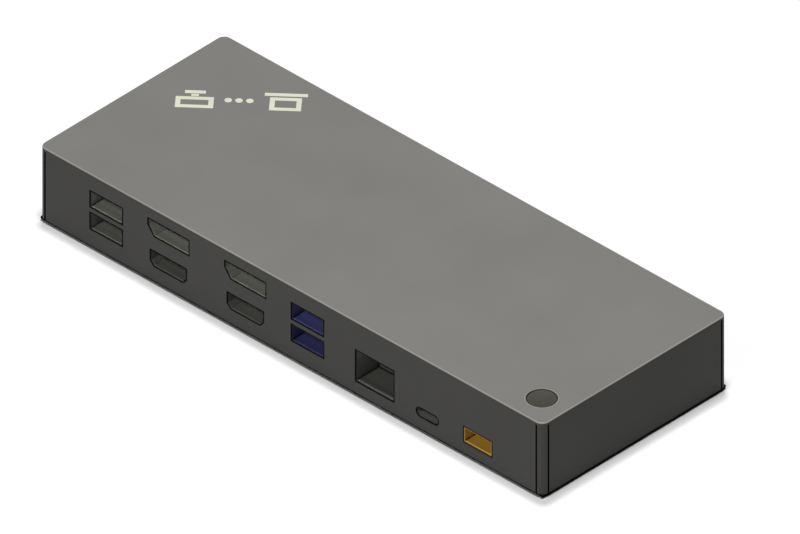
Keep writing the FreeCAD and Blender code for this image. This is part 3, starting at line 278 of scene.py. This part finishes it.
def moulded_plastic(name, colour, roughness=0.55, grain_mm=0.16, grain_depth=0.012, specular=0.12,
                    with_edge_highlight=False):
    """Spark-eroded moulded plastic: a pebbled grain, faint flow mottling, painted shade along the upright
    seams, and, when asked, a painted highlight on rounded edges.
    """
    material, tree, shader = new_material(name)
    grain = noise(tree, grain_mm, detail=1.5)
    pebbles = noise(tree, grain_mm * 2.6, detail=1.0)
    mottle = noise(tree, size_mm=24, detail=3)
    patches = noise(tree, size_mm=55, detail=2)
    speckle = ramp(tree, grain, 0.93, 1.07)
    shade = multiply(tree, speckle, ramp(tree, mottle, 0.97, 1.03))
    # Painted shade along the upright seams.
    seam_shade_factor = painted_seam_shade(tree)
    shade = multiply(tree, shade, seam_shade_factor)
    # Painted highlight: rounded edges are made paler by their slope.
    if with_edge_highlight:
        shade = multiply(tree, shade, painted_edge_highlight(tree))
    tree.links.new(tint(tree, colour, shade), shader.inputs["Base Color"])
    tree.links.new(ramp(tree, patches, roughness - 0.05, roughness + 0.05), shader.inputs["Roughness"])
    fine = bump(tree, grain, grain_depth)
    tree.links.new(bump(tree, pebbles, grain_depth * 1.6, 0.8, under=fine), shader.inputs["Normal"])
    # The painted seam shade also takes the reflection away in its band.
    if specular > 0:
        tree.links.new(ramp(tree, seam_shade_factor, 0, specular, SEAM_DARK, 1), shader.inputs["Specular IOR Level"])
    else:
        shader.inputs["Specular IOR Level"].default_value = 0
    return material


def satin_plastic(name, colour, roughness=0.42, specular=0.4, mouth_painted_shade=False, walls=WALL_PAINTED_SHADE, rims=RIM_PAINTED_SHADE):
    """A finer, smoother moulding: socket inserts, the button and the pictogram."""
    material, tree, shader = new_material(name)
    haze = noise(tree, size_mm=0.35, detail=3)
    mottle = noise(tree, size_mm=7, detail=2)
    shade = ramp(tree, mottle, 0.95, 1.05)
    # Painted shade inside the sockets.
    if mouth_painted_shade:
        shade = multiply(tree, shade, painted_socket_shade(tree, walls, rims))
    tree.links.new(tint(tree, colour, shade), shader.inputs["Base Color"])
    tree.links.new(ramp(tree, haze, roughness - 0.05, roughness + 0.06), shader.inputs["Roughness"])
    tree.links.new(bump(tree, haze, 0.004), shader.inputs["Normal"])
    shader.inputs["Specular IOR Level"].default_value = specular
    return material


def plated_steel(name, colour, roughness=0.38, direction=(1, 1, 9), metallic=1.0, mouth_painted_shade=False):
    """Rolled and plated sheet: long faint rolling lines and small stains."""
    material, tree, shader = new_material(name)
    lines = noise(tree, size_mm=0.5, detail=4, roughness=0.6, stretch=direction)
    stains = noise(tree, size_mm=5, detail=3)
    shade = ramp(tree, stains, 0.9, 1.08)
    # Painted shade inside the sockets.
    if mouth_painted_shade:
        shade = multiply(tree, shade, painted_socket_shade(tree, WALL_PAINTED_SHADE, RIM_PAINTED_SHADE))
    tree.links.new(tint(tree, colour, shade), shader.inputs["Base Color"])
    tree.links.new(ramp(tree, lines, roughness - 0.08, roughness + 0.1), shader.inputs["Roughness"])
    tree.links.new(bump(tree, lines, 0.006, 0.6), shader.inputs["Normal"])
    shader.inputs["Metallic"].default_value = metallic
    return material


def soft_rubber(name, colour, specular=0.25):
    """Matte rubber with a dusty bloom and a coarse moulded surface."""
    material, tree, shader = new_material(name)
    grain = noise(tree, size_mm=0.3, detail=3)
    dust = noise(tree, size_mm=4, detail=4)
    tree.links.new(tint(tree, colour, ramp(tree, dust, 0.8, 1.5)), shader.inputs["Base Color"])
    tree.links.new(bump(tree, grain, 0.02), shader.inputs["Normal"])
    shader.inputs["Roughness"].default_value = 0.85
    shader.inputs["Specular IOR Level"].default_value = specular
    return material


WEAVE_SCALE = 900


def circuit_board(name, colour):
    """Solder resist over laminate: a weave just showing, and a broad sheen."""
    material, tree, shader = new_material(name)
    weave = add(tree, "ShaderNodeTexWave", wave_type="BANDS", bands_direction="DIAGONAL")
    weave.inputs["Scale"].default_value = WEAVE_SCALE
    tree.links.new(metres(tree), weave.inputs["Vector"])
    patches = noise(tree, size_mm=3, detail=2)
    shade = multiply(tree, ramp(tree, weave.outputs["Fac"], 0.94, 1.06, 0, 1), ramp(tree, patches, 0.9, 1.1))
    tree.links.new(tint(tree, colour, shade), shader.inputs["Base Color"])
    tree.links.new(bump(tree, weave.outputs["Fac"], 0.004), shader.inputs["Normal"])
    shader.inputs["Roughness"].default_value = 0.35
    return material


HOUSING = moulded_plastic("housing_plastic", (0.0425, 0.0416, 0.0386), with_edge_highlight=True)
PANEL = moulded_plastic("panel_plastic", (0.0425, 0.0418, 0.039), grain_mm=0.13)
# The base's near-black, unreflecting colour is a painted shade: it stands for the shadow line along the
# bottom edge.
BASE = moulded_plastic("base_plastic", (0.005, 0.005, 0.0045), specular=0.0)
CAP = satin_plastic("cap_plastic", (0.0125, 0.012, 0.0095), roughness=0.5, specular=0.1)
RING = satin_plastic("light_ring", (0.06, 0.06, 0.055), roughness=0.3)
INK = satin_plastic("pictogram_ink", (0.15, 0.149, 0.122), roughness=0.5)
RUBBER = soft_rubber("foot_rubber", (0.02, 0.02, 0.02))
# The gasket's near-black, unreflecting colour is a painted shade for the gap round each window.
GASKET_SHADE = soft_rubber("gasket_painted_shade", (0.003, 0.003, 0.003), specular=0.0)
LABEL = satin_plastic("label_film", (0.30, 0.30, 0.29), roughness=0.5)
# The socket materials below carry the painted shade in the sockets.
STEEL = plated_steel("shell_steel", (0.32, 0.32, 0.28), roughness=0.5, metallic=0.3, mouth_painted_shade=True)
# A darker copy of the shell steel for the HDMI shells: painted shade for the lower sockets.
SHADED_STEEL = plated_steel("shaded_shell_steel", (0.235, 0.235, 0.21), roughness=0.5, metallic=0.3,
                          mouth_painted_shade=True)
BLACKENED = satin_plastic("blackened_shell", (0.12, 0.12, 0.109), mouth_painted_shade=True, walls=1.0)
SHEET = plated_steel("sheet_steel", (0.40, 0.40, 0.41), roughness=0.45, direction=(9, 1, 1))
ALUMINIUM = plated_steel("spreader_metal", (0.62, 0.62, 0.63), roughness=0.45, direction=(1, 9, 1))
GOLD = plated_steel("contact_gold", (0.78, 0.56, 0.22), roughness=0.3, direction=(1, 9, 1))
BLACK = satin_plastic("black_insulator", (0.22, 0.22, 0.195), mouth_painted_shade=True)
DARK = satin_plastic("network_insert", (0.12, 0.12, 0.109), mouth_painted_shade=True, walls=1.0)
BLUE = satin_plastic("blue_insulator", (0.073, 0.074, 0.225), mouth_painted_shade=True)
YELLOW = satin_plastic("yellow_plastic", (0.68, 0.385, 0.05), mouth_painted_shade=True, walls=0.95, rims=0.8)
BOARD = circuit_board("board_laminate", (0.01, 0.07, 0.035))
EPOXY = satin_plastic("chip_package", (0.03, 0.03, 0.03), roughness=0.6)
SILICONE = soft_rubber("pad_silicone", (0.35, 0.40, 0.45))
LENS = satin_plastic("led_lens", (0.8, 0.8, 0.72), roughness=0.2)

BY_SLOT = {
    "housing_plastic": HOUSING, "panel_plastic": PANEL, "cap_plastic": CAP, "light_ring": RING,
    "pictogram_ink": INK, "foot_rubber": RUBBER, "label_paper": LABEL, "screw_steel": STEEL,
    "shell_steel": STEEL, "sheet_steel": SHEET, "spreader_metal": ALUMINIUM, "contact_gold": GOLD,
    "black_insulator": BLACK, "blue_insulator": BLUE, "yellow_plastic": YELLOW,
    "board_laminate": BOARD, "chip_package": EPOXY, "pad_silicone": SILICONE, "can_metal": ALUMINIUM,
    "led_lens": LENS,
}

BY_NODE = {
    "base_cover": BASE, "ethernet_shell": BLACKENED, "ethernet_insert": DARK,
    "hdmi_left_shell": SHADED_STEEL, "hdmi_right_shell": SHADED_STEEL,
}


def dress_nodes():
    """Give each CAD node the material of its record slot, or one of its own."""
    for entry in frame["record"]["subparts"]:
        material = BY_NODE.get(entry["node"], BY_SLOT[entry["material_slot"]])
        for material_slot in nodes[entry["node"]].material_slots:
            material_slot.material = material


# ---- gaskets round the socket windows ----

GASKET_WIDE = 0.14 * MM
GASKET_BEVEL = 0.85
GASKET_REACH = 0.22 * MM
GASKET_LIP = 0.02 * MM
GASKET_PROUD = 0.03 * MM
GASKET_DEEP = 0.08 * MM
GASKET_LINING = 0.05 * MM
FLAT = 0.99
SAME_PLACE = 1e-6


def window_loops(node, outward):
    """Each window's outline on a panel's outer face, as a list of (x, z), and the face's own y."""
    mesh = bmesh.new()
    mesh.from_mesh(node.data)
    bmesh.ops.remove_doubles(mesh, verts=mesh.verts, dist=SAME_PLACE)
    mesh.normal_update()
    low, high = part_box(node.name)
    plane = (high if outward > 0 else low).y

    def outer(face):
        return face.normal.y * outward > FLAT and abs(face.calc_center_median().y - plane) < SAME_PLACE

    following = {}
    for edge in mesh.edges:
        sides = [outer(face) for face in edge.link_faces]
        if sides.count(True) == 1:
            for start, end in (edge.verts, reversed(edge.verts)):
                following.setdefault(start.index, []).append(end.index)
    places = [(vertex.co.x, vertex.co.z) for vertex in mesh.verts]
    mesh.free()
    loops = []
    while following:
        start = min(following)
        loop = [start]
        ways = following.pop(start)
        step = ways[0]
        while step != start:
            loop.append(step)
            ahead = [index for index in following.pop(step) if index != loop[-2]]
            step = ahead[0]
        loops.append([places[index] for index in loop])
    spans = [max(point[0] for point in loop) - min(point[0] for point in loop) for loop in loops]
    return [loop for loop, span in zip(loops, spans) if span < max(spans)], plane


def turned(way):
    """A direction turned a quarter to the right."""
    return Vector((way.y, -way.x))


def grown(loop, distance):
    """A closed outline moved outwards by a distance, with mitred corners."""
    count = len(loop)
    area = sum(loop[index - 1][0] * loop[index][1] - loop[index][0] * loop[index - 1][1]
               for index in range(count))
    side = 1 if area > 0 else -1
    points = []
    for index, point in enumerate(loop):
        here = Vector(point)
        before = (here - Vector(loop[index - 1])).normalized()
        after = (Vector(loop[(index + 1) % count]) - here).normalized()
        first = turned(before) * side
        second = turned(after) * side
        middle = (first + second).normalized()
        points.append(here + middle * distance / middle.dot(first))
    return points


def make_gaskets(panel, outward):
    """A near-black gasket round each window: a low lip on the face and a lining down the window's wall. Its
    black, unreflecting colour is a painted shade for the gap round the window.
    """
    loops, plane = window_loops(nodes[panel], outward)
    mesh = bmesh.new()
    section = [(GASKET_WIDE, 0), (GASKET_WIDE * GASKET_BEVEL, GASKET_PROUD), (-GASKET_REACH, GASKET_PROUD),
               (-GASKET_REACH, -GASKET_LIP), (-GASKET_LINING, -GASKET_LIP), (-GASKET_LINING, -GASKET_DEEP),
               (0, -GASKET_DEEP), (0, 0)]
    for loop in loops:
        rows = []
        for grow, height in section:
            rows.append([mesh.verts.new((point.x, plane + outward * height, point.y))
                         for point in grown(loop, grow)])
        for row, following in zip(rows, rows[1:] + rows[:1]):
            for index in range(len(loop)):
                ahead = (index + 1) % len(loop)
                mesh.faces.new((row[index], row[ahead], following[ahead], following[index]))
    bmesh.ops.recalc_face_normals(mesh, faces=mesh.faces)
    data = bpy.data.meshes.new(panel + "_gaskets")
    mesh.to_mesh(data)
    mesh.free()
    piece = bpy.data.objects.new(panel + "_gaskets", data)
    piece.data.materials.append(GASKET_SHADE)
    bpy.context.scene.collection.objects.link(piece)
    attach(piece, "dock")


# ---- studio ----

FLOOR_GREY = 0.225
FLOOR_SIZE = 6.0
WORLD_STRENGTH = 0.05

# name, power in watts, width in metres, azimuth and elevation in degrees, distance in metres
LIGHTS = (
    ("key", 116, 0.26, -139, 83.2, 2.4),
    ("overhead", 136, 0.35, 44, 85, 2.4),
    ("port_fill", 7.2, 0.4, 12, 41, 1.2),
)


def make_floor():
    bpy.ops.mesh.primitive_plane_add(size=FLOOR_SIZE, location=(0, 0, 0))
    floor = bpy.context.object
    floor.name = "floor"
    material, _, shader = new_material("floor_paper")
    shader.inputs["Base Color"].default_value = (FLOOR_GREY, FLOOR_GREY, FLOOR_GREY, 1)
    shader.inputs["Roughness"].default_value = 1.0
    shader.inputs["Specular IOR Level"].default_value = 0.0
    floor.data.materials.append(material)


def add_area(name, power, size, azimuth, elevation, distance):
    """A soft white square light that looks at the object from an azimuth and elevation in degrees."""
    data = bpy.data.lights.new(name, "AREA")
    data.energy = power
    data.size = size
    light = bpy.data.objects.new(name, data)
    towards = direction_towards(math.radians(azimuth), math.radians(elevation))
    light.location = towards * distance
    light.rotation_mode = "QUATERNION"
    light.rotation_quaternion = (-towards).to_track_quat("-Z", "Y")
    bpy.context.scene.collection.objects.link(light)


def make_studio():
    make_floor()
    for light in LIGHTS:
        add_area(*light)
    world = bpy.data.worlds.new("studio")
    world.use_nodes = True
    background = world.node_tree.nodes["Background"]
    background.inputs["Color"].default_value = (1, 1, 1, 1)
    background.inputs["Strength"].default_value = WORLD_STRENGTH
    bpy.context.scene.world = world
    bpy.context.scene.view_settings.view_transform = "Standard"


make_camera()
dress_nodes()
make_gaskets("port_panel", -1)
make_gaskets("user_panel", 1)
make_studio()
